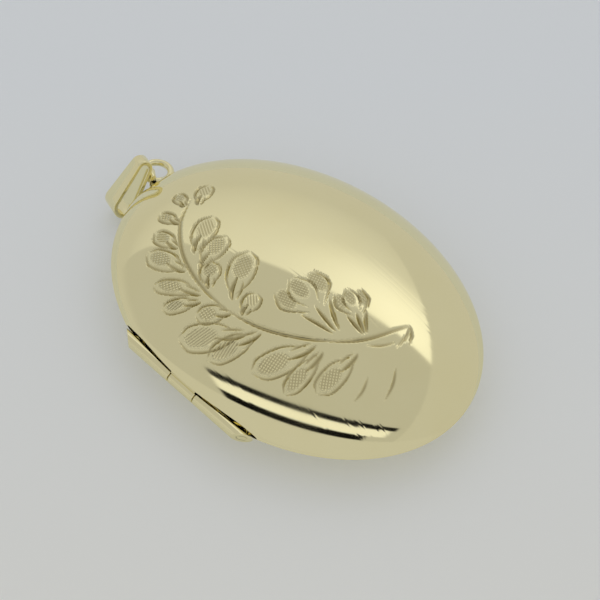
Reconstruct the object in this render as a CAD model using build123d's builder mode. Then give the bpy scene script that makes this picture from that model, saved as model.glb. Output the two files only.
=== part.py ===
"""Oval hinged locket with a jump ring and a tapered bail.

The locket lies on its back. The origin is the centre of the small flat panel that it rests on,
+Z points up through the domed front, +Y towards the bail, and the hinge is on the -X side.
"""

from build123d import *
import math
import os

os.makedirs("parts", exist_ok=True)

# ---- driving dimensions, mm ----
body_length = 45.0
body_width = 33.0
front_height = 5.5
back_depth = 4.0
sheet = 0.5                 # thickness of the gold sheet
seam_gap = 0.06
back_inset = 0.08           # the back's rim stands this far inside the front's
panel_radius = 3.0          # half width of the flat that the locket rests on
panel_filing = 0.02         # filed off the bottom to make the flat

front_rim_slope = 64.0      # degrees from level, where the front meets the seam
front_rim_run = 2.6
front_crown_run = 9.5
back_rim_slope = 46.0
back_rim_run = 2.8
back_crown_run = 10.5

# hinge
hinge_x = -15.7
barrel_radius = 0.7
pin_radius = 0.32
pin_clearance = 0.04
middle_half_length = 1.82
knuckle_gap = 0.12
barrel_outer_half = 7.8     # where the slanted end leaves the barrel's outer side
barrel_inner_half = 9.7     # and where it meets the inner side
front_notch_radius = 0.98
back_notch_radius = 0.84
notch_half_length = 10.0

# closing rim and photo fittings: half widths across X, and heights from the seam
bezel_outer = 15.5
bezel_inner = 15.05
bezel_rise = 0.7
bezel_drop = 0.9
bezel_break_half = 10.2     # the rim is left out beside the hinge
collar_clearance = 0.15     # front liner inside the closing rim
frame_outer = 14.2
frame_opening = 12.9
pane_outer = 13.6
seat_opening = 12.3
frame_set_back = 0.2
frame_thickness = 0.35
window_thickness = 0.25
card_thickness = 0.2
seat_thickness = 0.4
bead_radius = 0.2
bead_half_length = 1.6
bead_height = 0.35

# top loop
loop_centre = (0.50, 23.08, -0.77)      # from the seam
loop_radius = 1.3
loop_wire = 0.36
loop_twist = 36.0           # degrees, as the loop is soldered slightly askew
loop_file_y = 22.72         # the loop is filed level with the seam up to here

# jump ring
ring_centre = (1.90, 23.95, -0.68)      # from the seam
ring_axis = (0.16, 0.02, 0.987)
ring_radius = 1.5
ring_wire = 0.38

# bail
bail_tip = (0.68, 24.19, 2.33)            # outer face of the tip, from the seam
bail_along = (-0.683, 0.006, -0.73)      # from the tip to the far end
bail_across = (-0.659, 0.427, 0.62)       # from the lower limb to the upper one
bail_length = 7.0
bail_far_radius = 1.35
bail_tip_radius = 0.95
bail_band = 0.5
bail_width_far = 3.0
bail_width_tip = 1.6

# ---- derived ----
half_width = body_width / 2
stretch = body_length / body_width
seam_z = back_depth
seat_set_back = frame_set_back + frame_thickness + window_thickness + card_thickness


def above_seam(point):
    """A point given from the seam, in the part's own frame."""
    return (point[0], point[1], point[2] + seam_z)


def front_curve(inset):
    """Profile of the front dome, from the crown to the rim, inset by a wall thickness."""
    slope = math.radians(front_rim_slope)
    rim = half_width - inset
    base = seam_z + seam_gap / 2
    top = seam_z + front_height - inset
    shoulder = (rim - front_rim_run * math.cos(slope), base + front_rim_run * math.sin(slope))
    return [(0, top), (front_crown_run, top), shoulder, (rim, base)]


def back_curve(inset):
    """Profile of the back dome, from the panel to the rim, inset by a wall thickness."""
    slope = math.radians(back_rim_slope)
    rim = half_width - back_inset - inset
    base = seam_z - seam_gap / 2
    shoulder = (rim - back_rim_run * math.cos(slope), base - back_rim_run * math.sin(slope))
    bottom = inset - panel_filing
    return [(panel_radius, bottom), (back_crown_run, bottom), shoulder, (rim, base)]


def turned(points):
    """A solid of revolution from a closed polyline (x, z), stretched to the body's oval."""
    with BuildPart() as body:
        with BuildSketch(Plane.XZ):
            with BuildLine():
                Polyline(*points, close=True)
            make_face()
        revolve(axis=Axis.Z)
        scale(by=(1, stretch, 1))
    return body.part


def domed(curve):
    """The solid between a dome's curve and the level of its rim."""
    with BuildPart() as body:
        with BuildSketch(Plane.XZ):
            with BuildLine():
                edge = Bezier(*curve)
                Polyline(edge @ 1, (0, (edge @ 1).Y), (0, (edge @ 0).Y))
                if (edge @ 0).X > 0:
                    Line((0, (edge @ 0).Y), edge @ 0)
            make_face()
        revolve(axis=Axis.Z)
        scale(by=(1, stretch, 1))
    return body.part


def hinge_rod(radius, y_low, y_high):
    """A round rod about the hinge axis."""
    with BuildPart() as rod:
        with BuildSketch(Plane(origin=(hinge_x, y_low, seam_z), x_dir=(1, 0, 0), z_dir=(0, 1, 0))):
            Circle(radius)
        extrude(amount=y_high - y_low)
    return rod.part


def hinge_sector(radius, start, end, y_low, y_high):
    """A wedge about the hinge axis between two angles, measured from +X towards +Z."""
    middle = (start + end) / 2
    points = [(0, 0)]
    for angle in (start, middle, end):
        reach = radius / math.cos(math.radians((end - start) / 4)) + 0.1
        points.append((reach * math.cos(math.radians(angle)), -reach * math.sin(math.radians(angle))))
    with BuildPart() as wedge:
        with BuildSketch(Plane(origin=(hinge_x, y_low, seam_z), x_dir=(1, 0, 0), z_dir=(0, 1, 0))):
            with BuildLine():
                Polyline(*points, close=True)
            make_face()
            Circle(radius, mode=Mode.INTERSECT)
            Circle(barrel_radius, mode=Mode.SUBTRACT)
        extrude(amount=y_high - y_low)
    return wedge.part


def beyond_slant(side):
    """Everything past the slanted end of the hinge barrel, on one side."""
    outer_x = hinge_x - barrel_radius
    inner_x = hinge_x + barrel_radius
    run = (barrel_inner_half - barrel_outer_half) / (2 * barrel_radius)
    with BuildPart() as wedge:
        with BuildSketch(Plane.XY.offset(seam_z - 3)):
            with BuildLine():
                Polyline((outer_x - 1, side * (barrel_outer_half - run)),
                         (inner_x + 1, side * (barrel_inner_half + run)),
                         (inner_x + 1, side * 14), (outer_x - 1, side * 14), close=True)
            make_face()
        extrude(amount=6)
    return wedge.part


# ---- cores and cutters ----
front_core = domed(front_curve(sheet))
back_core = domed(back_curve(sheet))
back_block = domed(back_curve(0))
front_notch = hinge_rod(front_notch_radius, -notch_half_length, notch_half_length)
back_notch = hinge_rod(back_notch_radius, -notch_half_length, notch_half_length)
slant_upper = beyond_slant(1)
slant_lower = beyond_slant(-1)
outer_start = middle_half_length + knuckle_gap

# ---- covers ----
with BuildPart() as front_cover:
    add(domed(front_curve(0)))
    add(front_core, mode=Mode.SUBTRACT)
    add(front_notch, mode=Mode.SUBTRACT)
front_cover.part.label = "front_cover"

with BuildPart() as back_cover:
    add(back_block)
    add(back_core, mode=Mode.SUBTRACT)
    add(back_notch, mode=Mode.SUBTRACT)
    with Locations((0, 0, -1)):
        Box(body_width, body_length, 2, mode=Mode.SUBTRACT)
back_cover.part.label = "back_cover"

# ---- closing rim, soldered into the back ----
with BuildPart() as closing_bezel:
    add(turned([(bezel_inner, seam_z - bezel_drop), (bezel_outer, seam_z - bezel_drop),
                (bezel_outer, seam_z - seam_gap / 2), (bezel_inner, seam_z - seam_gap / 2)]))
    add(back_core, mode=Mode.INTERSECT)
    add(turned([(bezel_inner, seam_z - seam_gap / 2), (bezel_outer, seam_z - seam_gap / 2),
                (bezel_outer, seam_z + bezel_rise), (bezel_inner, seam_z + bezel_rise)]))
    with Locations((hinge_x, 0, seam_z)):
        Box(10, 2 * bezel_break_half, 4, mode=Mode.SUBTRACT)
closing_bezel.part.label = "closing_bezel"

with BuildPart() as catch_bead:
    with BuildSketch(Plane(origin=(bezel_outer - 0.03, -bead_half_length, seam_z + bead_height),
                           x_dir=(1, 0, 0), z_dir=(0, 1, 0))):
        Circle(bead_radius)
    extrude(amount=2 * bead_half_length)
    add(closing_bezel.part, mode=Mode.SUBTRACT)
    with Locations((bezel_outer - 1.2, 0, seam_z + bead_height)):
        Box(2, 4 * bead_half_length, 1, mode=Mode.SUBTRACT)
catch_bead.part.label = "catch_bead"

# ---- photo fittings of the back ----
with BuildPart() as back_liner:
    add(turned([(seat_opening, seam_z - seat_set_back - seat_thickness),
                (half_width, seam_z - seat_set_back - seat_thickness),
                (half_width, seam_z - frame_set_back),
                (frame_outer, seam_z - frame_set_back),
                (frame_outer, seam_z - frame_set_back - frame_thickness),
                (pane_outer, seam_z - frame_set_back - frame_thickness),
                (pane_outer, seam_z - seat_set_back),
                (seat_opening, seam_z - seat_set_back)]))
    add(back_core, mode=Mode.INTERSECT)
    add(closing_bezel.part, mode=Mode.SUBTRACT)
    add(back_notch, mode=Mode.SUBTRACT)
back_liner.part.label = "back_liner"

with BuildPart() as back_photo_frame:
    add(turned([(frame_opening, seam_z - frame_set_back - frame_thickness),
                (frame_outer, seam_z - frame_set_back - frame_thickness),
                (frame_outer, seam_z - frame_set_back),
                (frame_opening, seam_z - frame_set_back)]))
back_photo_frame.part.label = "back_photo_frame"

with BuildPart() as back_window:
    with BuildSketch(Plane.XY.offset(seam_z - seat_set_back + card_thickness)):
        Ellipse(pane_outer, pane_outer * stretch)
    extrude(amount=window_thickness)
back_window.part.label = "back_window"

with BuildPart() as back_photo_card:
    with BuildSketch(Plane.XY.offset(seam_z - seat_set_back)):
        Ellipse(pane_outer, pane_outer * stretch)
    extrude(amount=card_thickness)
back_photo_card.part.label = "back_photo_card"

# ---- photo fittings of the front ----
with BuildPart() as front_liner:
    add(turned([(seat_opening, seam_z + seat_set_back + seat_thickness),
                (half_width, seam_z + seat_set_back + seat_thickness),
                (half_width, seam_z + bezel_rise + 0.1),
                (bezel_inner - collar_clearance, seam_z + bezel_rise + 0.1),
                (bezel_inner - collar_clearance, seam_z + frame_set_back),
                (frame_outer, seam_z + frame_set_back),
                (frame_outer, seam_z + frame_set_back + frame_thickness),
                (pane_outer, seam_z + frame_set_back + frame_thickness),
                (pane_outer, seam_z + seat_set_back),
                (seat_opening, seam_z + seat_set_back)]))
    add(front_core, mode=Mode.INTERSECT)
    add(front_notch, mode=Mode.SUBTRACT)
front_liner.part.label = "front_liner"

with BuildPart() as front_photo_frame:
    add(turned([(frame_opening, seam_z + frame_set_back),
                (frame_outer, seam_z + frame_set_back),
                (frame_outer, seam_z + frame_set_back + frame_thickness),
                (frame_opening, seam_z + frame_set_back + frame_thickness)]))
front_photo_frame.part.label = "front_photo_frame"

with BuildPart() as front_window:
    with BuildSketch(Plane.XY.offset(seam_z + frame_set_back + frame_thickness)):
        Ellipse(pane_outer, pane_outer * stretch)
    extrude(amount=window_thickness)
front_window.part.label = "front_window"

with BuildPart() as front_photo_card:
    with BuildSketch(Plane.XY.offset(seam_z + seat_set_back - card_thickness)):
        Ellipse(pane_outer, pane_outer * stretch)
    extrude(amount=card_thickness)
front_photo_card.part.label = "front_photo_card"

# ---- hinge ----
with BuildPart() as hinge_knuckle_middle:
    add(hinge_rod(barrel_radius, -middle_half_length, middle_half_length))
    add(hinge_rod(pin_radius + pin_clearance, -middle_half_length, middle_half_length), mode=Mode.SUBTRACT)
hinge_knuckle_middle.part.label = "hinge_knuckle_middle"

with BuildPart() as hinge_knuckle_upper:
    add(hinge_rod(barrel_radius, outer_start, notch_half_length))
    add(hinge_rod(pin_radius, outer_start, notch_half_length), mode=Mode.SUBTRACT)
    add(slant_upper, mode=Mode.SUBTRACT)
hinge_knuckle_upper.part.label = "hinge_knuckle_upper"

with BuildPart() as hinge_knuckle_lower:
    add(hinge_rod(barrel_radius, -notch_half_length, -outer_start))
    add(hinge_rod(pin_radius, -notch_half_length, -outer_start), mode=Mode.SUBTRACT)
    add(slant_lower, mode=Mode.SUBTRACT)
hinge_knuckle_lower.part.label = "hinge_knuckle_lower"

with BuildPart() as hinge_pin:
    add(hinge_rod(pin_radius, -notch_half_length, notch_half_length))
    add(slant_upper, mode=Mode.SUBTRACT)
    add(slant_lower, mode=Mode.SUBTRACT)
hinge_pin.part.label = "hinge_pin"

with BuildPart() as hinge_bearer_front:
    add(hinge_sector(front_notch_radius, 20, 100, -middle_half_length, middle_half_length))
hinge_bearer_front.part.label = "hinge_bearer_front"

with BuildPart() as hinge_bearer_back_upper:
    add(hinge_sector(back_notch_radius, -75, -20, outer_start, barrel_outer_half))
    add(slant_upper, mode=Mode.SUBTRACT)
hinge_bearer_back_upper.part.label = "hinge_bearer_back_upper"

with BuildPart() as hinge_bearer_back_lower:
    add(hinge_sector(back_notch_radius, -75, -20, -barrel_outer_half, -outer_start))
    add(slant_lower, mode=Mode.SUBTRACT)
hinge_bearer_back_lower.part.label = "hinge_bearer_back_lower"

# ---- top loop, soldered to the back and filed flush under the front's rim ----
twist = math.radians(loop_twist)
loop_plane = Plane(origin=above_seam(loop_centre), x_dir=(0, 0, 1),
                   z_dir=(math.cos(twist), -math.sin(twist), 0))
with BuildPart() as top_loop:
    with Locations(loop_plane):
        Torus(loop_radius, loop_wire)
    add(back_block, mode=Mode.SUBTRACT)
    with Locations((loop_centre[0], loop_file_y - 3, seam_z - 0.06 + 2)):
        Box(8, 6, 4, mode=Mode.SUBTRACT)
top_loop.part.label = "top_loop"

# ---- jump ring ----
with BuildPart() as jump_ring:
    with Locations(Plane(origin=above_seam(ring_centre), z_dir=ring_axis)):
        Torus(ring_radius, ring_wire)
jump_ring.part.label = "jump_ring"

# ---- bail: a tapered band bent into a long drop ----
along = Vector(*bail_along).normalized()
across = (Vector(*bail_across) - along * Vector(*bail_across).dot(along)).normalized()
broad = along.cross(across)
side_plane = Plane(origin=above_seam(bail_tip), x_dir=along, z_dir=broad)
taper_plane = Plane(origin=above_seam(bail_tip), x_dir=along, z_dir=across)
with BuildPart() as bail:
    with BuildSketch(side_plane):
        with Locations((bail_length - bail_far_radius, 0)):
            Circle(bail_far_radius)
        with Locations((bail_tip_radius, 0)):
            Circle(bail_tip_radius)
        make_hull()
    extrude(amount=bail_width_far, both=True)
    with BuildSketch(side_plane):
        with Locations((bail_length - bail_far_radius, 0)):
            Circle(bail_far_radius - bail_band)
        with Locations((bail_tip_radius, 0)):
            Circle(bail_tip_radius - bail_band)
        make_hull()
    extrude(amount=bail_width_far, both=True, mode=Mode.SUBTRACT)
    with BuildSketch(taper_plane):
        with BuildLine():
            Polyline((0, -bail_width_tip / 2), (bail_length, -bail_width_far / 2),
                     (bail_length, bail_width_far / 2), (0, bail_width_tip / 2), close=True)
        make_face()
    extrude(amount=2 * bail_far_radius, both=True, mode=Mode.INTERSECT)
bail.part.label = "bail"

pieces = [front_cover, back_cover, closing_bezel, catch_bead, back_liner, back_photo_frame, back_window,
          back_photo_card, front_liner, front_photo_frame, front_window, front_photo_card,
          hinge_knuckle_middle, hinge_knuckle_upper, hinge_knuckle_lower, hinge_pin, hinge_bearer_front,
          hinge_bearer_back_upper, hinge_bearer_back_lower, top_loop, jump_ring, bail]
for piece in pieces:
    export_step(piece.part, "parts/" + piece.part.label + ".step")
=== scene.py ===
"""Oval hinged locket in pale yellow gold: engraved front, smooth back, hinge, jump ring and bail.

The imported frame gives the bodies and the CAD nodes. Lengths here are millimetres until a mesh is made.
"""

import logging
import math
from dataclasses import dataclass
from enum import Enum

import bpy
import numpy as np
from mathutils import Matrix, Vector


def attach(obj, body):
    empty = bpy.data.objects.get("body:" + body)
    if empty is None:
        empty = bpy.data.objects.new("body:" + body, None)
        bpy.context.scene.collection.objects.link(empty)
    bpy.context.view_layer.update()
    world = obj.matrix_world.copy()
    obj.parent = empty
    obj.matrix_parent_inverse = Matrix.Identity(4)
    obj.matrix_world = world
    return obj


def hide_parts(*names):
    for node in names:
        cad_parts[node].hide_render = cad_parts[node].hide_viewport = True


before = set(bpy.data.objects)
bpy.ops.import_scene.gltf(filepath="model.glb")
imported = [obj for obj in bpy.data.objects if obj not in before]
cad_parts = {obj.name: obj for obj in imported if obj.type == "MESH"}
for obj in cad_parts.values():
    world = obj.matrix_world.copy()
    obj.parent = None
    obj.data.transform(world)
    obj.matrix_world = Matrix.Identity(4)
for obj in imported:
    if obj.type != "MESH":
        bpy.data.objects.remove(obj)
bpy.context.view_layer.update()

MM = 0.001
SEAM = 4.0                  # height of the closing line above the rest panel
HALF_WIDTH = 16.5
STRETCH = 45.0 / 33.0       # length over width of the oval
HINGE_X = -15.7
NOTCH_HALF_LENGTH = 10.0
GRAVER_WIDTH = 1.2          # how much wider than nominal the engraver cut
GRAVER_DEPTH = 1.5
FULL_DEPTH = 0.16           # depth at which a cut's painted shade is darkest
CUT_SAMPLES = 17            # points along a short cut
ARC_OVER_RADIUS = 1.12      # length of a dome's half section over its radius

logging.basicConfig(level=logging.INFO, format="%(name)s: %(message)s")
log = logging.getLogger("locket")


class Slot(Enum):
    """Material slots that the new pieces take."""

    GOLD = "gold"
    WINDOW = "window"


class Half(Enum):
    """Which cover a dome belongs to: the sign of its outward height."""

    FRONT = 1
    BACK = -1


class Form(Enum):
    """Forms that the engraver repeats along the stem."""

    PETAL = "petal"
    TULIP = "tulip"
    SLIVER = "sliver"


# ---------------------------------------------------------------------------- meshes

def make_object(name: str, points: np.ndarray, faces: list, normals: np.ndarray | None = None,
                sharp_degrees: float | None = None) -> bpy.types.Object:
    """Makes a smooth-shaded mesh object.

    Args:
        name: the object's name.
        points: vertex positions in millimetres, one row each.
        faces: vertex indices of each face.
        normals: one shading normal for each vertex, or None.
        sharp_degrees: edges above this angle shade as sharp, or None.

    Returns:
        The new object, linked to the scene.
    """
    mesh = bpy.data.meshes.new(name)
    mesh.from_pydata((np.asarray(points, float) * MM).tolist(), [], faces)
    mesh.validate()
    mesh.polygons.foreach_set("use_smooth", [True] * len(mesh.polygons))
    if sharp_degrees is not None:
        mesh.set_sharp_from_angle(angle=math.radians(sharp_degrees))
    if normals is not None:
        mesh.normals_split_custom_set_from_vertices(normals.tolist())
    obj = bpy.data.objects.new(name, mesh)
    bpy.context.scene.collection.objects.link(obj)
    return obj


def grid_faces(rows: int, columns: int, wrap_rows: bool = False, flip: bool = False) -> list:
    """Quads of closed rings of points, numbered ring by ring.

    Args:
        rows: number of rings.
        columns: number of points in a ring.
        wrap_rows: whether the last ring joins the first.
        flip: whether the faces turn the other way.

    Returns:
        The faces as index tuples.
    """
    faces = []
    for i in range(rows if wrap_rows else rows - 1):
        k = (i + 1) % rows
        for j in range(columns):
            n = (j + 1) % columns
            face = (i * columns + j, i * columns + n, k * columns + n, k * columns + j)
            faces.append(face[::-1] if flip else face)
    return faces


def unit(v: np.ndarray) -> np.ndarray:
    """Scales vectors to length one.

    Args:
        v: vectors along the last axis.

    Returns:
        The unit vectors.
    """
    return v / np.maximum(np.linalg.norm(v, axis=-1, keepdims=True), 1e-12)


def smooth_curve(points: list, count: int) -> np.ndarray:
    """A smooth curve through plan points.

    Args:
        points: (x, y) points, three or more.
        count: number of samples.

    Returns:
        The samples, one row each.
    """
    p = np.array(points, float)
    p = np.vstack([2 * p[0] - p[1], p, 2 * p[-1] - p[-2]])
    spans = len(p) - 3
    u = np.linspace(0, spans, count)
    i = np.minimum(u.astype(int), spans - 1)
    t = (u - i)[:, None]
    a, b, c, d = p[i], p[i + 1], p[i + 2], p[i + 3]
    return 0.5 * (2 * b + (c - a) * t + (2 * a - 5 * b + 4 * c - d) * t ** 2
                  + (3 * b - a - 3 * c + d) * t ** 3)


# ---------------------------------------------------------------------------- engraving

@dataclass(frozen=True)
class Cut:
    """One stroke of the graver in the cover's plan: a V groove, thin at both ends."""

    line: np.ndarray
    width: float
    depth: float
    lean: float = 0.0       # -1..1, which wall is the steep one

    def carve(self, xy: np.ndarray) -> np.ndarray:
        """Depth of this cut at plan points.

        Args:
            xy: plan points, one row each.

        Returns:
            The depth at each point, in millimetres.
        """
        out = np.zeros(len(xy))
        low, high = self.line.min(0) - self.width, self.line.max(0) + self.width
        near = np.nonzero(np.all((xy > low) & (xy < high), axis=1))[0]
        if not len(near):
            return out
        start, step = self.line[:-1], np.diff(self.line, axis=0)
        rel = xy[near][:, None, :] - start[None]
        u = np.clip((rel * step).sum(-1) / np.maximum((step ** 2).sum(-1), 1e-9), 0, 1)
        off = rel - u[..., None] * step
        dist = np.hypot(off[..., 0], off[..., 1])
        k = dist.argmin(1)
        row = np.arange(len(near))
        t = (k + u[row, k]) / len(step)
        swell = np.clip(4 * t * (1 - t), 0, 1) ** 0.55
        side = np.sign(step[k, 0] * rel[row, k, 1] - step[k, 1] * rel[row, k, 0])
        half = 0.5 * self.width * swell * (1 + self.lean * side) + 1e-6
        wall = np.clip(1 - dist[row, k] / half, 0, 1)
        out[near] = self.depth * swell * wall * (1.5 - 0.5 * wall)
        return out


@dataclass(frozen=True)
class Ruling:
    """An oval patch of fine ruled or crossed lines."""

    centre: np.ndarray
    heading: float          # degrees
    half_length: float
    half_width: float
    crossed: bool


@dataclass(frozen=True)
class Motif:
    """A petal, tulip or sliver that grows from a root in a heading."""

    form: Form
    root: tuple
    heading: float          # degrees from +x
    length: float
    breadth: float
    bend: float = 0.0       # sideways bow as a share of the length
    crossed: bool = True

    def place(self, along: float, aside: float) -> tuple:
        """Finds a plan point of this motif.

        Args:
            along: share of the length from the root.
            aside: share of the breadth to the left.

        Returns:
            The (x, y) point.
        """
        a = math.radians(self.heading)
        s = aside * self.breadth + self.bend * self.length * 4 * along * (1 - along)
        x = self.root[0] + along * self.length * math.cos(a) - s * math.sin(a)
        y = self.root[1] + along * self.length * math.sin(a) + s * math.cos(a)
        return (x, y)

    def stroke(self, shares: list, width: float, depth: float, lean: float = 0.0) -> Cut:
        """Makes a cut of this motif.

        Args:
            shares: (along, aside) shares that the cut passes.
            width: nominal width.
            depth: nominal depth.
            lean: which wall is the steep one.

        Returns:
            The cut.
        """
        line = smooth_curve([self.place(*s) for s in shares], CUT_SAMPLES)
        return Cut(line, width * GRAVER_WIDTH, depth * GRAVER_DEPTH, lean)

    def cuts(self) -> list[Cut]:
        """The graver's strokes of this motif.

        Returns:
            The cuts, outline first.
        """
        if self.form is Form.SLIVER:
            return [self.stroke([(0, 0), (0.5, 0.25), (1, 0)], 0.34, 0.11, 0.2)]
        if self.form is Form.TULIP:
            petals = [self.stroke([(0.40, s * 0.12), (0.66, s * 0.50), (1.0 - 0.08 * abs(s), s * 0.42)],
                                  0.36, 0.12, -0.3 * s) for s in (-1, 1)]
            middle = [self.stroke([(0.48, s * 0.10), (0.75, s * 0.24), (0.99, s * 0.03)],
                                  0.28, 0.09) for s in (-1, 1)]
            throat = [self.stroke([(0.02, s * 0.06), (0.24, s * 0.16), (0.47, s * 0.30)],
                                  0.46, 0.15, 0.2) for s in (-1, 0, 1)]
            return petals + middle + throat
        return [self.stroke([(0.06, 0.02), (0.42, 0.42), (0.80, 0.44), (1.0, 0.04)], 0.38, 0.12, -0.3),
                self.stroke([(0.10, -0.03), (0.46, -0.44), (0.84, -0.38), (0.99, -0.02)], 0.36, 0.12, 0.3),
                self.stroke([(0.0, 0.0), (0.2, 0.08), (0.48, 0.05)], 0.52, 0.16, 0.3),
                self.stroke([(0.04, -0.12), (0.22, -0.20), (0.40, -0.18)], 0.34, 0.11)]

    def rulings(self) -> list[Ruling]:
        """The hatched patches of this motif.

        Returns:
            One patch for each petal, and none for a sliver.
        """
        if self.form is Form.SLIVER:
            return []
        if self.form is Form.TULIP:
            spots = [(0.74, -0.32), (0.78, 0.02), (0.74, 0.32)]
            return [Ruling(np.array(self.place(*s)), self.heading + 30, 0.17 * self.length,
                           0.15 * self.breadth, True) for s in spots]
        return [Ruling(np.array(self.place(0.66, 0.0)), self.heading + 35, 0.26 * self.length,
                       0.34 * self.breadth, self.crossed)]


@dataclass
class Spray:
    """The engraved spray: a bowed stem with buds and leaves on both sides."""

    stem: tuple = ((0, 16), (-3.5, 14), (-6.5, 10), (-8, 4.5),
                   (-7.5, -1.5), (-5, -6.5), (-1, -10.5), (4.5, -12.5))
    stem_width: float = 0.62
    stem_depth: float = 0.20
    stem_lean: float = 0.25
    stem_samples: int = 85
    stem_parts: tuple = ((0, 46), (40, 70), (64, 85))   # overlapping pulls of the graver

    def motifs(self) -> list[Motif]:
        """Buds and leaves from the top of the stem to its foot.

        Returns:
            The motifs, those inside the stem's bow first.
        """
        P, T, S = Form.PETAL, Form.TULIP, Form.SLIVER
        inner = [Motif(P, (-0.5, 14.5), 25, 3.5, 2.0, 0.05, False), Motif(P, (-1.5, 15.5), 65, 2.5, 1.6),
                 Motif(P, (-3.5, 14), 95, 3, 1.6), Motif(P, (-5.5, 9.5), 25, 5.5, 2.8, 0.04, False),
                 Motif(P, (-6.5, 7.5), 12, 5, 2.6, 0.06), Motif(P, (-7.5, 5), 45, 3.5, 2.4),
                 Motif(P, (-7, 2), 30, 6.5, 3.2, 0.03), Motif(P, (-7.5, 0), 15, 3, 2.2, 0.0, False),
                 Motif(T, (-2, -8.5), 82, 8.5, 6.0), Motif(T, (0, -10.5), 65, 6.0, 3.6)]
        outer = [Motif(P, (-6, 11.5), 88, 3.8, 2.0, 0.0, False), Motif(P, (-7.5, 8.5), 97, 5.5, 2.6),
                 Motif(P, (-8.5, 5), 112, 5.8, 2.0, -0.05), Motif(P, (-9, 4.5), 135, 4.2, 1.9, 0.0, False),
                 Motif(P, (-8, 1), 130, 3.8, 2.4), Motif(P, (-8.5, -2), 130, 7.3, 3.4, 0.03, False),
                 Motif(P, (-7.5, -3), 157, 6, 2.8, 0.0, False), Motif(P, (-4.5, -8), 157, 7.2, 3.2, 0.03),
                 Motif(P, (-4.5, -9), 184, 6, 2.2), Motif(P, (-2, -11.5), 182, 6.2, 2.6)]
        foot = [Motif(S, (4.5, -12.5), 222, 2.4, 0.6), Motif(S, (4.5, -12.5), 198, 3.2, 0.8),
                Motif(S, (2, -13), 150, 3.2, 0.8), Motif(S, (-3, -14), 197, 3.2, 0.9),
                Motif(S, (0, -15), 208, 4.0, 1.0)]
        return inner + outer + foot

    def cuts(self) -> list[Cut]:
        """Every groove of the spray.

        Returns:
            The cuts, stem first.
        """
        whole = smooth_curve(list(self.stem), self.stem_samples)
        stem = [Cut(whole[a:b], self.stem_width, self.stem_depth, self.stem_lean)
                for a, b in self.stem_parts]
        return stem + [cut for motif in self.motifs() for cut in motif.cuts()]

    def depth(self, xy: np.ndarray) -> np.ndarray:
        """Engraved depth at plan points.

        Args:
            xy: plan points, one row each.

        Returns:
            The depth of the deepest cut at each point.
        """
        out = np.zeros(len(xy))
        for cut in self.cuts():
            out = np.maximum(out, cut.carve(xy))
        return out

    def hatching(self, xy: np.ndarray) -> np.ndarray:
        """Line coordinates and strength of the ruled patches.

        Args:
            xy: plan points, one row each.

        Returns:
            Rows of (line coordinate, crossing coordinate, strength).
        """
        out = np.zeros((len(xy), 3))
        for motif in self.motifs():
            for patch in motif.rulings():
                rel = xy - patch.centre
                h, g = math.radians(motif.heading), math.radians(patch.heading)
                a = (rel[:, 0] * math.cos(h) + rel[:, 1] * math.sin(h)) / patch.half_length
                b = (-rel[:, 0] * math.sin(h) + rel[:, 1] * math.cos(h)) / patch.half_width
                mask = np.clip((1 - np.hypot(a, b)) * 4, 0, 1)
                better = mask > out[:, 2]
                across = -rel[:, 0] * math.sin(g) + rel[:, 1] * math.cos(g)
                along = rel[:, 0] * math.cos(g) + rel[:, 1] * math.sin(g)
                out[better, 0] = across[better]
                out[better, 1] = along[better] if patch.crossed else 0.0
                out[better, 2] = mask[better]
        return out


# ---------------------------------------------------------------------------- covers

@dataclass(frozen=True)
class DomeSection:
    """Half section of a cover: one smooth curve from the crown to the rim."""

    crown_height: float
    flat_radius: float      # where the curve leaves the crown
    crown_run: float        # radius that the crown's handle reaches
    rim_height: float
    rim_inset: float
    rim_slope: float        # degrees
    rim_run: float


SECTIONS = {
    Half.FRONT: DomeSection(9.5, 0.0, 9.5, 4.03, 0.0, 64, 2.6),
    Half.BACK: DomeSection(0.0, 3.0, 10.5, 3.97, 0.08, 46, 2.8)}


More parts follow.
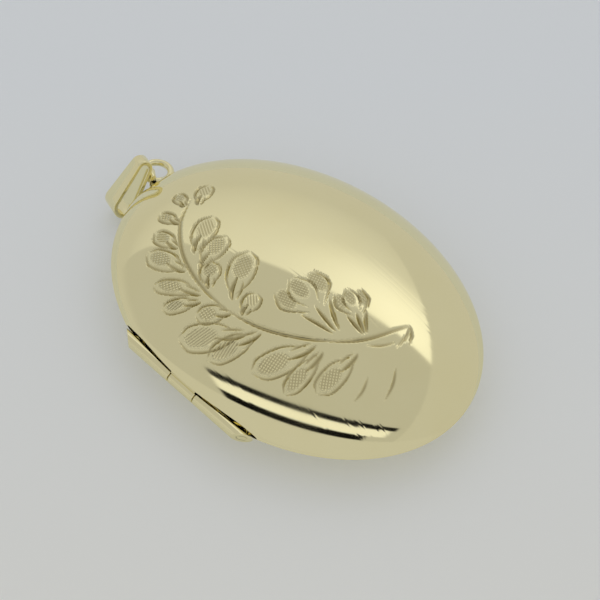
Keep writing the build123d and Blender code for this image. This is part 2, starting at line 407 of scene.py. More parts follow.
@dataclass
class Cover:
    """A domed half shell. Its outside is a nearly even grid wrapped onto the oval."""

    half: Half
    node: str
    body: str
    cells: int
    notch_radius: float
    engraving: Spray | None = None
    sheet: float = 0.5
    edge_break: float = 0.06
    rim_tilt: float = 0.2       # how far the rim face's shading leans outward
    inner_rings: int = 10
    slope_step: float = 0.02    # distance over which a groove's slope is taken

    def profile(self, inset: float) -> np.ndarray:
        """Half section from the middle to the rim.

        Args:
            inset: distance inside the outer skin.

        Returns:
            Evenly spaced (r, z) samples.
        """
        t = np.linspace(0, 1, 400)[:, None]
        size, sign = SECTIONS[self.half], self.half.value
        slope = math.radians(size.rim_slope)
        rim = HALF_WIDTH - size.rim_inset - inset
        crown = size.crown_height - sign * inset
        handle = (rim - size.rim_run * math.cos(slope),
                  size.rim_height + sign * size.rim_run * math.sin(slope))
        ends = [(size.flat_radius, crown), (size.crown_run, crown), handle, (rim, size.rim_height)]
        a, b, c, d = np.array(ends, float)
        curve = (1 - t) ** 3 * a + 3 * t * (1 - t) ** 2 * b + 3 * t ** 2 * (1 - t) * c + t ** 3 * d
        if self.half is Half.BACK:
            curve = np.vstack([[[0, inset]], curve])
        length = np.concatenate([[0], np.cumsum(np.hypot(*np.diff(curve, axis=0).T))])
        even = np.linspace(0, length[-1], 1500)
        return np.column_stack([np.interp(even, length, curve[:, 0]), np.interp(even, length, curve[:, 1])])

    def surface(self, inset: float, share: np.ndarray, theta: np.ndarray) -> tuple[np.ndarray, np.ndarray]:
        """Points and outward normals at shares of the half section.

        Args:
            inset: distance inside the outer skin.
            share: 0 at the middle to 1 at the rim, for each point.
            theta: angle round the oval, for each point.

        Returns:
            The points and their normals.
        """
        prof = self.profile(inset)
        slope = np.gradient(prof, axis=0)
        at = np.linspace(0, 1, len(prof))
        r, z = np.interp(share, at, prof[:, 0]), np.interp(share, at, prof[:, 1])
        tr, tz = np.interp(share, at, slope[:, 0]), np.interp(share, at, slope[:, 1])
        cos, sin = np.cos(theta), np.sin(theta)
        points = np.column_stack([r * cos, r * STRETCH * sin, z])
        sign = self.half.value
        return points, unit(sign * np.column_stack([-tz * cos, -tz * sin / STRETCH, tr]))

    def reach(self, inset: float, theta: np.ndarray) -> np.ndarray:
        """Share of the half section at which the shell ends, less where the hinge recess cuts it.

        Args:
            inset: distance inside the outer skin.
            theta: angle round the oval, for each point.

        Returns:
            The share for each angle, 1 at the full rim.
        """
        prof = self.profile(inset)
        x = prof[:, 0][None] * np.cos(theta)[:, None]
        y = prof[:, 0][None] * STRETCH * np.sin(theta)[:, None]
        inside = (np.hypot(x - HINGE_X, prof[:, 1][None] - SEAM) < self.notch_radius)
        inside &= np.abs(y) < NOTCH_HALF_LENGTH
        first = np.where(inside.any(1), inside.argmax(1), len(prof) - 1)
        return first / (len(prof) - 1)

    def skin_grid(self) -> tuple[np.ndarray, np.ndarray]:
        """A square grid squeezed into a disc.

        Returns:
            The distance from the middle (0 to 1) and the angle of each grid point.
        """
        n = self.cells
        axis = np.linspace(-1, 1, n + 1)
        a, b = (m.ravel() for m in np.meshgrid(axis, axis, indexing="ij"))
        wide = np.abs(a) >= np.abs(b)
        safe_a, safe_b = np.where(a == 0, 1, a), np.where(b == 0, 1, b)
        rho = np.where(wide, a, b)
        phi = np.where(wide, math.pi / 4 * b / safe_a, math.pi / 2 - math.pi / 4 * a / safe_b)
        return np.abs(rho), np.where(rho < 0, phi + math.pi, phi)

    def build(self) -> bpy.types.Object:
        """Makes the shell: outside, broken edge, rim face and inside.

        Returns:
            The shell, with its hatching and the painted shade of its cuts stored on it.
        """
        n = self.cells
        rho, theta = self.skin_grid()
        length = self.profile(0)[:, 0].max() * ARC_OVER_RADIUS
        share = rho * (self.reach(0, theta) - self.edge_break / length)
        points, normals = self.surface(0, share, theta)
        hatch = np.zeros((len(points), 3))
        if self.engraving:
            points, normals, hatch = self.engrave(points, normals)
        index = np.arange((n + 1) ** 2).reshape(n + 1, n + 1)
        quads = np.stack([index[:-1, :-1], index[1:, :-1], index[1:, 1:], index[:-1, 1:]], -1).reshape(-1, 4)
        if self.half is Half.BACK:
            quads = quads[:, ::-1]
        loop = np.concatenate([index[:-1, 0], index[-1, :-1], index[:0:-1, -1], index[0, :0:-1]])
        rim_angle, count = theta[loop], len(loop)
        shares = self.reach(0, rim_angle)
        outer, outer_n = self.surface(0, shares, rim_angle)
        end = self.reach(self.sheet, rim_angle)
        inner, _ = self.surface(self.sheet, end, rim_angle)
        across = unit(inner - outer)
        face_n = unit(outer_n - (outer_n * across).sum(1, keepdims=True) * across)
        down = np.array([0, 0, -self.half.value], float)
        face_n = unit(face_n * self.rim_tilt + down)
        rows = [outer + across * self.edge_break, inner - across * self.edge_break]
        row_normals = [face_n, face_n]
        for k in range(self.inner_rings):
            p, q = self.surface(self.sheet, end * (1 - k / self.inner_rings), rim_angle)
            rows.append(p)
            row_normals.append(-q)
        middle, middle_n = self.surface(self.sheet, np.zeros(1), np.zeros(1))
        base = len(points)
        ring_faces = np.array(grid_faces(len(rows), count)) + base
        k = np.arange(count)
        first = np.column_stack([loop, np.roll(loop, -1), base + np.roll(k, -1), base + k])
        flip = self.half is Half.FRONT
        last = base + (len(rows) - 1) * count
        centre = base + len(rows) * count
        fan = np.column_stack([last + k, last + np.roll(k, -1), np.full(count, centre)])
        side = np.vstack([first, ring_faces])
        faces = quads.tolist()
        faces += (side[:, ::-1] if flip else side).tolist() + (fan[:, ::-1] if flip else fan).tolist()
        all_points = np.vstack([points] + rows + [middle])
        all_normals = np.vstack([normals] + row_normals + [-middle_n])
        obj = make_object(self.node + "_shell", all_points, faces, all_normals)
        self.store_hatching_and_painted_shade(obj, all_points, hatch)
        return obj

    def store_hatching_and_painted_shade(self, obj: bpy.types.Object, points: np.ndarray, hatch: np.ndarray) -> None:
        """Stores the hatching, and the depth of the cuts as painted shade, on the shell.

        Args:
            obj: the shell.
            points: all its points, the skin first.
            hatch: hatching rows of the skin.
        """
        data = np.zeros((len(points), 3))
        data[:len(hatch)] = hatch
        layer = obj.data.attributes.new("hatching", "FLOAT_VECTOR", "POINT")
        layer.data.foreach_set("vector", data.ravel().astype(np.float32))
        if self.engraving:
            # painted shade: the colour darkens with the depth of a cut, fully at FULL_DEPTH
            shade = np.clip(self.engraving.depth(points[:, :2]) / FULL_DEPTH, 0, 1)
            shade[len(hatch):] = 0
            tone = obj.data.attributes.new("cut_shade", "FLOAT", "POINT")
            tone.data.foreach_set("value", shade.astype(np.float32))

    def engrave(self, points: np.ndarray, normals: np.ndarray) -> tuple:
        """Sinks the grooves into the skin and turns its normals to suit.

        Args:
            points: skin points.
            normals: their outward normals.

        Returns:
            New points, new normals and the hatching rows.
        """
        step, sunk = self.slope_step, self.engraving.depth
        xy = points[:, :2]
        depth = sunk(xy)
        slope_x = (sunk(xy + [step, 0]) - sunk(xy - [step, 0])) / (2 * step)
        slope_y = (sunk(xy + [0, step]) - sunk(xy - [0, step])) / (2 * step)
        g = np.column_stack([slope_x, slope_y, np.zeros(len(xy))])
        turned = unit(normals + g - (g * normals).sum(1, keepdims=True) * normals)
        return points - depth[:, None] * normals, turned, self.engraving.hatching(xy)

    def dress(self, obj: bpy.types.Object, material: bpy.types.Material) -> None:
        """Gives the shell its finish and hangs it on its body in place of the CAD node."""
        finish_piece(obj, material, self.body, Slot.GOLD, self.node)


def finish_piece(obj: bpy.types.Object, material: bpy.types.Material, body: str, slot: Slot,
                 *nodes: str) -> None:
    """Dresses a piece and ties it to the frame.

    Args:
        obj: the piece.
        material: its finish.
        body: the CAD body it rides on.
        slot: not used.
        nodes: the CAD nodes it stands for.
    """
    obj.data.materials.clear()
    obj.data.materials.append(material)
    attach(obj, body)
    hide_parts(*nodes)
    log.info("%s rides on %s, %d faces", obj.name, body, len(obj.data.polygons))


# ---------------------------------------------------------------------------- hinge, ring, bail

@dataclass
class Hinge:
    """Three barrel lengths on one axis; the outer two end in a slant."""

    radius: float = 0.7
    bore: float = 0.36
    middle_half: float = 1.82
    gap: float = 0.12
    edge: float = 0.06
    columns: int = 48
    slant_x: float = -16.4      # outer side of the barrel, where the slant starts
    slant_start: float = 7.8
    slant_run: float = 1.4
    slant_rise: float = 1.9

    def slant(self, x: np.ndarray) -> np.ndarray:
        """Distance of the slanted end from the middle, at a depth across the barrel."""
        return self.slant_start + (x - self.slant_x) / self.slant_run * self.slant_rise

    def knuckle(self, name: str, side: int) -> bpy.types.Object:
        """Makes one barrel length.

        Args:
            name: the piece's name.
            side: 0 for the middle one, 1 or -1 for an outer one.

        Returns:
            The tube.
        """
        angle = np.linspace(0, 2 * math.pi, self.columns, endpoint=False)
        e = self.edge
        rings = [(self.radius, e, 0), (self.radius - e, 0, 0), (self.bore, 0, 0),
                 (self.bore, 0, 1), (self.radius - e, 0, 1), (self.radius, e, 1)]
        rows = []
        for radius, back, at_end in rings:
            x = HINGE_X + radius * np.cos(angle)
            low = self.middle_half + self.gap if side else -self.middle_half
            high = self.slant(x) if side else np.full(len(x), self.middle_half)
            y = (high - back) if at_end else np.full(len(x), low + back)
            rows.append(np.column_stack([x, (side or 1) * y, SEAM + radius * np.sin(angle)]))
        faces = grid_faces(len(rings), self.columns, True, flip=(side < 0))
        return make_object(name, np.vstack(rows), faces, sharp_degrees=40)

    def build(self, gold: bpy.types.Material) -> None:
        """Makes and dresses the three lengths.

        Args:
            gold: their finish.
        """
        parts = [("middle", 0, "front_half"), ("upper", 1, "back_half"), ("lower", -1, "back_half")]
        for word, side, body in parts:
            obj = self.knuckle(f"barrel_{word}", side)
            finish_piece(obj, gold, body, Slot.GOLD, f"hinge_knuckle_{word}")


@dataclass
class WireRing:
    """A round ring of round wire, with one face filed flat if asked."""

    name: str
    node: str
    body: str
    centre: tuple
    axis: tuple
    radius: float
    wire: float
    file_height: float | None = None
    file_limit_y: float = 22.72
    turns: int = 120
    around: int = 32

    def build(self, gold: bpy.types.Material) -> None:
        """Makes and dresses the ring.

        Args:
            gold: its finish.
        """
        axis = Vector(self.axis).normalized()
        turn = np.array(axis.to_track_quat("Z", "Y").to_matrix())
        u = np.linspace(0, 2 * math.pi, self.turns, endpoint=False)[:, None]
        v = np.linspace(0, 2 * math.pi, self.around, endpoint=False)[None]
        reach = self.radius + self.wire * np.cos(v)
        local = np.stack([reach * np.cos(u), reach * np.sin(u), self.wire * np.sin(v) + 0 * u], -1)
        points = local.reshape(-1, 3) @ turn.T + np.array(self.centre)
        if self.file_height is not None:
            high = (points[:, 2] > self.file_height) & (points[:, 1] < self.file_limit_y)
            points[high, 2] = self.file_height
        obj = make_object(self.name, points, torus_faces(self.turns, self.around), sharp_degrees=50)
        finish_piece(obj, gold, self.body, Slot.GOLD, self.node)


def torus_faces(rows: int, columns: int) -> list:
    """Quads of a ring of rings, facing out."""
    return grid_faces(rows, columns, True, flip=True)


@dataclass
class Bail:
    """A flat band bent into a drop shape, narrow at the tip."""

    tip: tuple = (0.68, 24.19, 6.33)
    along: tuple = (-0.683, 0.006, -0.73)
    across: tuple = (-0.659, 0.427, 0.62)
    length: float = 7.0
    far_radius: float = 1.35
    tip_radius: float = 0.95
    band: float = 0.5
    far_width: float = 3.0
    tip_width: float = 1.6
    corner: float = 0.13
    straight_steps: int = 40
    tip_steps: int = 40
    far_steps: int = 60

    def section(self, width: float) -> list[tuple]:
        """Rounded rectangle, the band's cross section.

        Args:
            width: its size across the band.

        Returns:
            (depth below the outside, offset across the band) points.
        """
        c, h = self.corner, width / 2
        corners = [(c, h - c, 90, 180), (c, -h + c, 180, 270), (self.band - c, -h + c, 270, 360),
                   (self.band - c, h - c, 0, 90)]
        out = []
        for t, w, a0, a1 in corners:
            for a in np.radians(np.linspace(a0, a1, 6)):
                out.append((t + c * math.cos(a), w + c * math.sin(a)))
        return out

    def build(self, gold: bpy.types.Material) -> None:
        """Makes and dresses the bail.

        Args:
            gold: its finish.
        """
        L = unit(np.array(self.along))
        M = np.array(self.across)
        M = unit(M - (M @ L) * L)
        W = np.cross(L, M)
        near, far = self.tip_radius, self.length - self.far_radius
        lean = math.asin((self.far_radius - self.tip_radius) / (far - near))
        top = math.pi / 2 + lean
        steps = self.straight_steps
        stations = [(near, self.tip_radius, a) for a in np.linspace(top, 2 * math.pi - top, self.tip_steps)]
        stations += [(near + (far - near) * k / steps, None, -top) for k in range(1, steps)]
        stations += [(far, self.far_radius, a) for a in np.linspace(-top, top, self.far_steps)]
        stations += [(far - (far - near) * k / steps, None, top) for k in range(1, steps)]
        rows = []
        for place, radius, angle in stations:
            if radius is None:
                share = (place - near) / (far - near)
                radius = self.tip_radius + share * (self.far_radius - self.tip_radius)
            out = math.cos(angle) * L + math.sin(angle) * M
            for depth, aside in self.section(1.0):
                down = (radius - depth) * out + place * L
                width = self.tip_width + (self.far_width - self.tip_width) * (down @ L) / self.length
                side = aside + math.copysign(width / 2 - 0.5, aside)
                rows.append(np.array(self.tip) + down + side * W)
        count = len(self.section(1.0))
        obj = make_object("bail_band", np.array(rows), grid_faces(len(stations), count, True, flip=True),
                          sharp_degrees=50)
        finish_piece(obj, gold, "bail_link", Slot.GOLD, "bail")


# ---------------------------------------------------------------------------- materials

def add(tree: bpy.types.NodeTree, kind: str, **sockets: object) -> bpy.types.Node:
    """Adds a node, linking or setting its named or numbered inputs.

    Args:
        tree: the node tree.
        kind: the node's type name.
        sockets: "op" sets the operation; "in0", "in1"... and names with _ for blanks set inputs.

    Returns:
        The node.
    """
    node = tree.nodes.new(kind)
    for key, value in sockets.items():
        if key == "op":
            node.operation = value
            continue
        socket = node.inputs[int(key[2:])] if key[:2] == "in" and key[2:].isdigit() \
            else node.inputs[key.replace("_", " ")]
        if isinstance(value, bpy.types.NodeSocket):
            tree.links.new(value, socket)
        else:
            socket.default_value = value
    return node


def calc(tree: bpy.types.NodeTree, op: str, *values: object) -> bpy.types.NodeSocket:
    """The result of one math node."""
    return add(tree, "ShaderNodeMath", op=op, **{f"in{i}": v for i, v in enumerate(values)}).outputs[0]


def new_group(name: str, inputs: dict, outputs: dict) -> tuple:
    """Makes an empty node group.

    Args:
        name: the group's name.
        inputs: default value of each named float input.
        outputs: socket type of each named output.

    Returns:
        The tree, its input node and its output node.
    """
    tree = bpy.data.node_groups.new(name, "ShaderNodeTree")
    for key, value in inputs.items():
        tree.interface.new_socket(key, in_out="INPUT", socket_type="NodeSocketFloat").default_value = value
    for key, kind in outputs.items():
        tree.interface.new_socket(key, in_out="OUTPUT", socket_type=kind)
    return tree, tree.nodes.new("NodeGroupInput"), tree.nodes.new("NodeGroupOutput")


def mix_colours(tree: bpy.types.NodeTree, first: object, second: object,
                mask: bpy.types.NodeSocket) -> bpy.types.NodeSocket:
    """Mixes two colours by a mask.

    Args:
        tree: the node tree.
        first: the colour, or the socket that gives it, where the mask is 0.
        second: the same where the mask is 1.
        mask: the mask's socket.

    Returns:
        The mixed colour's socket.
    """
    node = tree.nodes.new("ShaderNodeMix")
    node.data_type = "RGBA"
    for place, value in ((0, mask), (6, first), (7, second)):
        if isinstance(value, bpy.types.NodeSocket):
            tree.links.new(value, node.inputs[place])
        else:
            node.inputs[place].default_value = value
    return node.outputs[2]


def place_group(tree: bpy.types.NodeTree, group: bpy.types.NodeTree) -> bpy.types.Node:
    """Places a shared node group in a material.

    Args:
        tree: the material's node tree.
        group: the shared group.

    Returns:
        The group's node.
    """
    node = tree.nodes.new("ShaderNodeGroup")
    node.node_tree = group
    return node


def handling_wear() -> bpy.types.NodeTree:
    """Cloudy handling marks and hairline scratches, from 0 clean to 1 worn.

    Returns:
        The group, with outputs Wear and Hairlines.
    """
    hairline_level, hairline_sharpness = 0.62, 14.0
    tree, given, out = new_group("handling_wear", {"Cloud Scale": 150.0, "Hairline Scale": 900.0},
                                 {"Wear": "NodeSocketFloat", "Hairlines": "NodeSocketFloat"})
    place = tree.nodes.new("ShaderNodeTexCoord").outputs["Object"]
    cloud = add(tree, "ShaderNodeTexNoise", Vector=place, Scale=given.outputs[0], Detail=5.0)
    stretched = add(tree, "ShaderNodeMapping", Vector=place, Rotation=(0.2, 0.1, 0.9),
                    Scale=(1.0, 0.04, 0.3))
    hair = add(tree, "ShaderNodeTexNoise", Vector=stretched.outputs[0], Scale=given.outputs[1], Detail=2.0)
    off = calc(tree, "ABSOLUTE", calc(tree, "SUBTRACT", hair.outputs["Fac"], hairline_level))
    thin = calc(tree, "SUBTRACT", 1.0, calc(tree, "MULTIPLY", hairline_sharpness, off))
    hairlines = calc(tree, "MAXIMUM", thin, 0.0)
    tree.links.new(cloud.outputs["Fac"], out.inputs["Wear"])
    tree.links.new(hairlines, out.inputs["Hairlines"])
    return tree


def ruled_hatching() -> bpy.types.NodeTree:
    """Height and painted shade of the fine ruled lines that the mesh's hatching attribute lays out.

    Returns:
        The group, with outputs Height, Mask and Tone.
    """
    ruled_painted_shade = 0.34           # how dark the painted shade at the bottom of a ruled line is, against a deep cut
    tree, given, out = new_group("ruled_hatching", {"Pitch": 0.30}, {
        "Height": "NodeSocketFloat", "Mask": "NodeSocketFloat", "Painted Shade": "NodeSocketFloat"})
    layer = tree.nodes.new("ShaderNodeAttribute")
    layer.attribute_name = "hatching"
    parts = add(tree, "ShaderNodeSeparateXYZ", in0=layer.outputs["Vector"])
    waves = []
    for channel in (0, 1):
        angle = calc(tree, "MULTIPLY", parts.outputs[channel], 2 * math.pi)
        waves.append(calc(tree, "COSINE", calc(tree, "DIVIDE", angle, given.outputs[0])))
    both = calc(tree, "MINIMUM", waves[0], waves[1])
    height = calc(tree, "MULTIPLY", both, parts.outputs[2])
    tree.links.new(height, out.inputs["Height"])
    tree.links.new(parts.outputs[2], out.inputs["Mask"])
    # painted shade: the cuts and the bottoms of the ruled lines darken the gold's colour
    cut = tree.nodes.new("ShaderNodeAttribute")
    cut.attribute_name = "cut_shade"
    low = calc(tree, "MULTIPLY", calc(tree, "SUBTRACT", parts.outputs[2], height), ruled_painted_shade)
    tone = calc(tree, "MINIMUM", calc(tree, "ADD", low, cut.outputs["Fac"]), 1.0)
    tree.links.new(tone, out.inputs["Painted Shade"])
    return tree


@dataclass(frozen=True)
class GoldFinish:
    """Polished pale yellow gold."""

    name: str
    colour: tuple = (0.90, 0.835, 0.515, 1.0)
    clean_roughness: float = 0.035
    worn_roughness: float = 0.085
    wear_from: float = 0.35
    wear_to: float = 0.7
    worn_tone: tuple = (0.96, 0.94, 0.88, 1.0)
    hairline_height: float = -0.0015    # millimetres
    engraved: bool = False
    # painted shade in the cuts and ruled lines: how dark the gold's colour turns there
    cavity_painted_shade: tuple = (0.50, 0.46, 0.36, 1.0)
    ruling_height: float = 0.030        # millimetres
    ruling_roughness: float = 0.05

    def shade(self, tone: tuple) -> tuple:
        """The gold's colour darkened by a tone."""
        return tuple(c * k for c, k in zip(self.colour, tone))

    def make(self, wear: bpy.types.NodeTree, ruling: bpy.types.NodeTree) -> bpy.types.Material:
        """Makes the material.

        Args:
            wear: the handling wear group.
            ruling: the ruled hatching group.

        Returns:
            The material.
        """
        mat = bpy.data.materials.new(self.name)
        mat.use_nodes = True
        tree = mat.node_tree
        shader = tree.nodes["Principled BSDF"]
        shader.inputs["Metallic"].default_value = 1.0
        worn = place_group(tree, wear)
        rough = add(tree, "ShaderNodeMapRange", Value=worn.outputs["Wear"], From_Min=self.wear_from,
                    From_Max=self.wear_to, To_Min=self.clean_roughness, To_Max=self.worn_roughness)
        roughness = rough.outputs[0]
        colour = mix_colours(tree, self.colour, self.shade(self.worn_tone), worn.outputs["Wear"])
        height = calc(tree, "MULTIPLY", worn.outputs["Hairlines"], self.hairline_height)
        if self.engraved:
            lines = place_group(tree, ruling)
            sunk = calc(tree, "MULTIPLY", lines.outputs["Height"], self.ruling_height)
            height = calc(tree, "ADD", height, sunk)
            matt = calc(tree, "MULTIPLY", lines.outputs["Mask"], self.ruling_roughness)
            roughness = calc(tree, "ADD", roughness, matt)
            # painted shade: the darker gold is mixed in along the cuts and ruled lines
            colour = mix_colours(tree, colour, self.shade(self.cavity_painted_shade), lines.outputs["Painted Shade"])
        tree.links.new(colour, shader.inputs["Base Color"])
        tree.links.new(roughness, shader.inputs["Roughness"])
        bump = add(tree, "ShaderNodeBump", Height=height, Distance=MM, Strength=1.0)
        tree.links.new(bump.outputs[0], shader.inputs["Normal"])
        return mat


@dataclass(frozen=True)
class SheetFinish:
    """A clear window or a matt paper card."""

    name: str
    colour: tuple
    roughness: float
    alpha: float = 1.0
    cloud_scale: float = 2500.0
    worn_tone: float = 0.9
    hairline_roughness: float = 0.05

    def make(self, wear: bpy.types.NodeTree) -> bpy.types.Material:
        """Makes the material, with the wear group clouding its colour.

        Args:
            wear: the handling wear group.

        Returns:
            The material.
        """
        mat = bpy.data.materials.new(self.name)
        mat.use_nodes = True
        tree = mat.node_tree
        shader = tree.nodes["Principled BSDF"]
        shader.inputs["Alpha"].default_value = self.alpha
        worn = place_group(tree, wear)
        worn.inputs["Cloud Scale"].default_value = self.cloud_scale
        faded = tuple(c * self.worn_tone for c in self.colour[:3]) + (1.0,)
        colour = mix_colours(tree, self.colour, faded, worn.outputs["Wear"])
        tree.links.new(colour, shader.inputs["Base Color"])
        roughness = calc(tree, "MULTIPLY_ADD", worn.outputs["Hairlines"], self.hairline_roughness,
                         self.roughness)
        tree.links.new(roughness, shader.inputs["Roughness"])
        return mat


# ---------------------------------------------------------------------------- studio

@dataclass(frozen=True)
class CeilingBar:
    """A straight bar across the ceiling: its brightness, and its edges with their softness."""

    level: float
    near: float
    far: float
    side_softness: float
    left: float
    right: float
    end_softness: float


@dataclass
class Studio:
    """Pale table, a soft overhead panel with a frame, and the camera."""

    azimuth: float = -43.45         # degrees; 0 looks along +y
    elevation: float = 52.5
    distance: float = 292.5
    aim_right: float = 0.53
    aim_up: float = 0.39
    lens: float = 167.1
    table_half: float = 1500.0
    sensor: float = 36.0
    table_drop: float = -0.01       # how far the table lies under the rest panel
    table_warm: tuple = (0.66, 0.665, 0.64, 1)
    table_cool: tuple = (0.63, 0.655, 0.675, 1)
    table_turn: float = 0.05        # metres over which the table turns from warm to cool
    table_roughness: float = 0.75
    table_specular: float = 0.2
    table_painted_glow: float = 0.28        # the table glows in its own colour: painted light that lifts the shade round the locket
    grain_scale: float = 700.0
    grain_height: float = 0.1
    grain_strength: float = 0.2
    panel_level: float = 0.545      # brightness of the overhead panel
    room_level: float = 0.60        # brightness of the room round it
    wall_level: float = 0.82        # the wall beyond the panel, at its brightest
    wall_rise: tuple = (0.3, 0.8)
    panel_side: tuple = (0.93, 0.37)        # direction square to the panel's side edge
    panel_side_edge: tuple = (0.67, 0.71)
    panel_end: tuple = (0.614, -0.789)      # direction square to its end edge
    panel_end_edge: tuple = (0.63, 0.67)
    glow_level: float = 1.12
    glow_centre: tuple = (0.86, 0.10)
    glow_fade: tuple = (0.05, 0.75)
    bar_across: tuple = (0.85, 0.53)
    bar_along: tuple = (0.53, -0.85)
    back_level: float = 0.62
    back_edge: tuple = (0.62, 0.66)
    horizon: tuple = (0.12, 0.35)
    lowest_ray: float = 0.02        # keeps the ceiling plane's coordinates finite
    bars: tuple = (CeilingBar(0.004, -0.335, -0.262, 0.010, -0.8, 0.56, 0.03),
                   CeilingBar(0.96, -0.50, -0.343, 0.012, -0.8, 0.5, 0.04),
                   CeilingBar(0.004, -0.64, -0.50, 0.012, -0.81, 0.31, 0.03))

    def camera(self) -> None:
        """Makes the camera and sets it."""
        a, e = math.radians(self.azimuth), math.radians(self.elevation)
        back = Vector((math.cos(e) * math.sin(a), -math.cos(e) * math.cos(a), math.sin(e)))
        right = Vector((math.cos(a), math.sin(a), 0))
        up = back.cross(right)
        data = bpy.data.cameras.new("camera")
        data.lens, data.sensor_width, data.clip_start = self.lens, self.sensor, 0.01
        cam = bpy.data.objects.new("camera", data)
        bpy.context.scene.collection.objects.link(cam)
        place = Vector((0, 0, SEAM)) + self.distance * back + self.aim_right * right + self.aim_up * up
        turn = Matrix((right, up, back)).transposed().to_4x4()
        cam.matrix_world = Matrix.Translation(place * MM) @ turn
        bpy.context.scene.camera = cam

    def table(self) -> None:
        """Makes the pale table top, cooler to one side."""
        h, drop = self.table_half, self.table_drop
        obj = make_object("table", np.array([(-h, -h, drop), (h, -h, drop), (h, h, drop), (-h, h, drop)]),
                          [(0, 1, 2, 3)])
        mat = bpy.data.materials.new("pale_table")
        mat.use_nodes = True
        tree = mat.node_tree
        shader = tree.nodes["Principled BSDF"]
        place = tree.nodes.new("ShaderNodeTexCoord").outputs["Object"]
        parts = add(tree, "ShaderNodeSeparateXYZ", in0=place)
        side = add(tree, "ShaderNodeMapRange", Value=calc(tree, "ADD", parts.outputs[0], parts.outputs[1]),
                   From_Min=-self.table_turn, From_Max=self.table_turn)
        colour = mix_colours(tree, self.table_warm, self.table_cool, side.outputs[0])
        tree.links.new(colour, shader.inputs["Base Color"])
        # painted light: the table glows in its own colour
        tree.links.new(colour, shader.inputs["Emission Color"])
        shader.inputs["Roughness"].default_value = self.table_roughness
        shader.inputs["Specular IOR Level"].default_value = self.table_specular
        shader.inputs["Emission Strength"].default_value = self.table_painted_glow
        grain = add(tree, "ShaderNodeTexNoise", Vector=place, Scale=self.grain_scale)
        bump = add(tree, "ShaderNodeBump", Height=grain.outputs["Fac"], Distance=MM * self.grain_height,
                   Strength=self.grain_strength)
        tree.links.new(bump.outputs[0], shader.inputs["Normal"])
        obj.data.materials.append(mat)

    def light(self) -> None:
        """Lights the scene with a panel overhead, drawn by direction."""
        world = bpy.data.worlds.new("studio")
        bpy.context.scene.world = world
        world.use_nodes = True
        tree = world.node_tree
        coordinates = tree.nodes.new("ShaderNodeTexCoord")
        ray = add(tree, "ShaderNodeSeparateXYZ", in0=coordinates.outputs["Generated"])
        x, y, z = ray.outputs
        height = calc(tree, "MAXIMUM", z, self.lowest_ray)
        p, q = calc(tree, "DIVIDE", x, height), calc(tree, "DIVIDE", y, height)

        def line(direction: tuple) -> bpy.types.NodeSocket:
            """The coordinate along a direction on the ceiling plane."""
            return calc(tree, "ADD", calc(tree, "MULTIPLY", p, direction[0]),
                        calc(tree, "MULTIPLY", q, direction[1]))

        def times(a: object, b: object) -> bpy.types.NodeSocket:
            """The product of two values."""
            return calc(tree, "MULTIPLY", a, b)

        def without(mask: object) -> bpy.types.NodeSocket:
            """The opposite of a mask."""
            return calc(tree, "SUBTRACT", 1.0, mask)

        def step(value: object, low: float, high: float) -> bpy.types.NodeSocket:
            """Rises smoothly from 0 to 1.

            Args:
                value: the coordinate.
                low: where the rise starts.
                high: where it ends.

            Returns:
                The mask.
            """
            node = add(tree, "ShaderNodeMapRange", Value=value, From_Min=low, From_Max=high)
            node.interpolation_type = "SMOOTHSTEP"
            return node.outputs[0]

        def band(value: object, low: float, high: float, soft: float) -> bpy.types.NodeSocket:
            """One between low and high, with soft edges."""
            return calc(tree, "SUBTRACT", step(value, low - soft, low + soft),
                        step(value, high - soft, high + soft))

        def blend(base: object, value: object, mask: object) -> bpy.types.NodeSocket:
            """base where the mask is 0 and value where it is 1."""
            return calc(tree, "ADD", base, times(mask, calc(tree, "SUBTRACT", value, base)))

        beyond_side = step(line(self.panel_side), *self.panel_side_edge)
        beyond_end = step(line(self.panel_end), *self.panel_end_edge)
        wall = add(tree, "ShaderNodeMapRange", Value=z, From_Min=self.wall_rise[0],
                   From_Max=self.wall_rise[1], To_Min=self.room_level, To_Max=self.wall_level)
        level = blend(self.panel_level, wall.outputs[0], beyond_side)
        level = blend(level, self.room_level, beyond_end)
        glow_x = calc(tree, "SUBTRACT", p, self.glow_centre[0])
        glow_y = calc(tree, "SUBTRACT", q, self.glow_centre[1])
        far = calc(tree, "SQRT", calc(tree, "ADD", times(glow_x, glow_x), times(glow_y, glow_y)))
        glow = times(times(beyond_side, without(beyond_end)), without(step(far, *self.glow_fade)))
        level = blend(level, self.glow_level, glow)
        across, along = line(self.bar_across), line(self.bar_along)
        level = blend(level, self.back_level, step(times(across, -1.0), *self.back_edge))
        for bar in self.bars:
            sides = band(across, bar.near, bar.far, bar.side_softness)
            ends = band(along, bar.left, bar.right, bar.end_softness)
            level = blend(level, bar.level, times(sides, ends))
        level = blend(level, self.room_level, without(step(z, *self.horizon)))
        sky = add(tree, "ShaderNodeCombineColor", in0=level, in1=level, in2=level)
        background = tree.nodes["Background"]
        tree.links.new(sky.outputs[0], background.inputs["Color"])
        bpy.context.scene.view_settings.view_transform = "Standard"


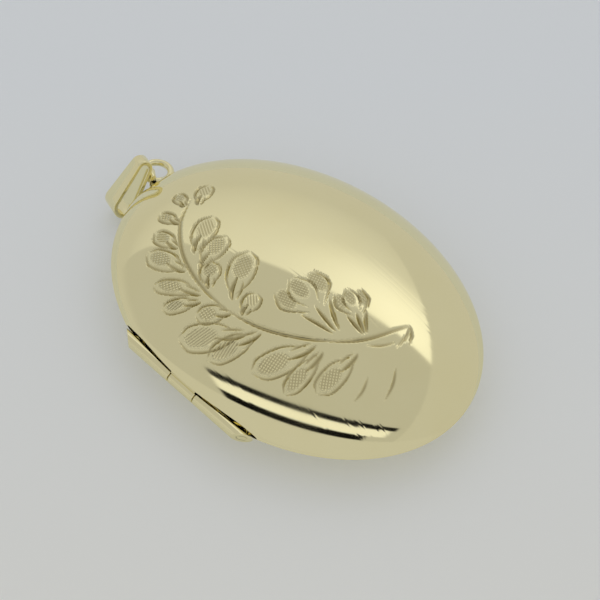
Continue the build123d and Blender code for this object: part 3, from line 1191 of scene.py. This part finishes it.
def dress_cad_nodes(gold: bpy.types.Material, window: bpy.types.Material, card: bpy.types.Material) -> None:
    """Gives every CAD node the finish that its name calls for.

    Args:
        gold: finish of the metal.
        window: finish of the clear windows.
        card: finish of the paper cards.
    """
    for name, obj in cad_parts.items():
        finish = window if name.endswith("window") else card if name.endswith("card") else gold
        obj.data.materials.clear()
        obj.data.materials.append(finish)
        log.info("%s is dressed in %s", name, finish.name)


@dataclass
class Panes:
    """The two clear windows, a hair thinner than their seats so that they clear the cards."""

    thickness_share: float = 0.9

    def build(self, window: bpy.types.Material) -> None:
        """Makes and dresses both panes from the CAD windows' outlines.

        Args:
            window: their finish.
        """
        for word in ("front", "back"):
            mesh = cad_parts[word + "_window"].data.copy()
            middle = sum(v.co.z for v in mesh.vertices) / len(mesh.vertices)
            for vertex in mesh.vertices:
                vertex.co.z = middle + (vertex.co.z - middle) * self.thickness_share
            obj = bpy.data.objects.new(word + "_pane", mesh)
            bpy.context.scene.collection.objects.link(obj)
            finish_piece(obj, window, word + "_half", Slot.WINDOW, word + "_window")


def main() -> None:
    """Builds the locket piece by piece, then the studio."""
    wear, ruling = handling_wear(), ruled_hatching()
    plain = GoldFinish("polished_gold").make(wear, ruling)
    cut = GoldFinish("engraved_gold", engraved=True).make(wear, ruling)
    window = SheetFinish("clear_window", (0.97, 0.98, 0.97, 1), 0.03, 0.12).make(wear)
    card = SheetFinish("paper_card", (0.84, 0.80, 0.71, 1), 0.75).make(wear)
    dress_cad_nodes(plain, window, card)
    front = Cover(Half.FRONT, "front_cover", "front_half", 272, 0.98, Spray())
    front.dress(front.build(), cut)
    back = Cover(Half.BACK, "back_cover", "back_half", 140, 0.84)
    back.dress(back.build(), plain)
    Hinge().build(plain)
    loop_twist = math.radians(36)
    WireRing("fixed_loop", "top_loop", "back_half", (0.50, 23.08, SEAM - 0.77),
             (math.cos(loop_twist), -math.sin(loop_twist), 0), 1.3, 0.36, SEAM - 0.06).build(plain)
    WireRing("link_ring", "jump_ring", "ring_link", (1.90, 23.95, SEAM - 0.68),
             (0.16, 0.02, 0.987), 1.5, 0.38).build(plain)
    Bail().build(plain)
    Panes().build(window)
    studio = Studio()
    studio.table()
    studio.light()
    studio.camera()


if __name__ == "__main__":
    main()
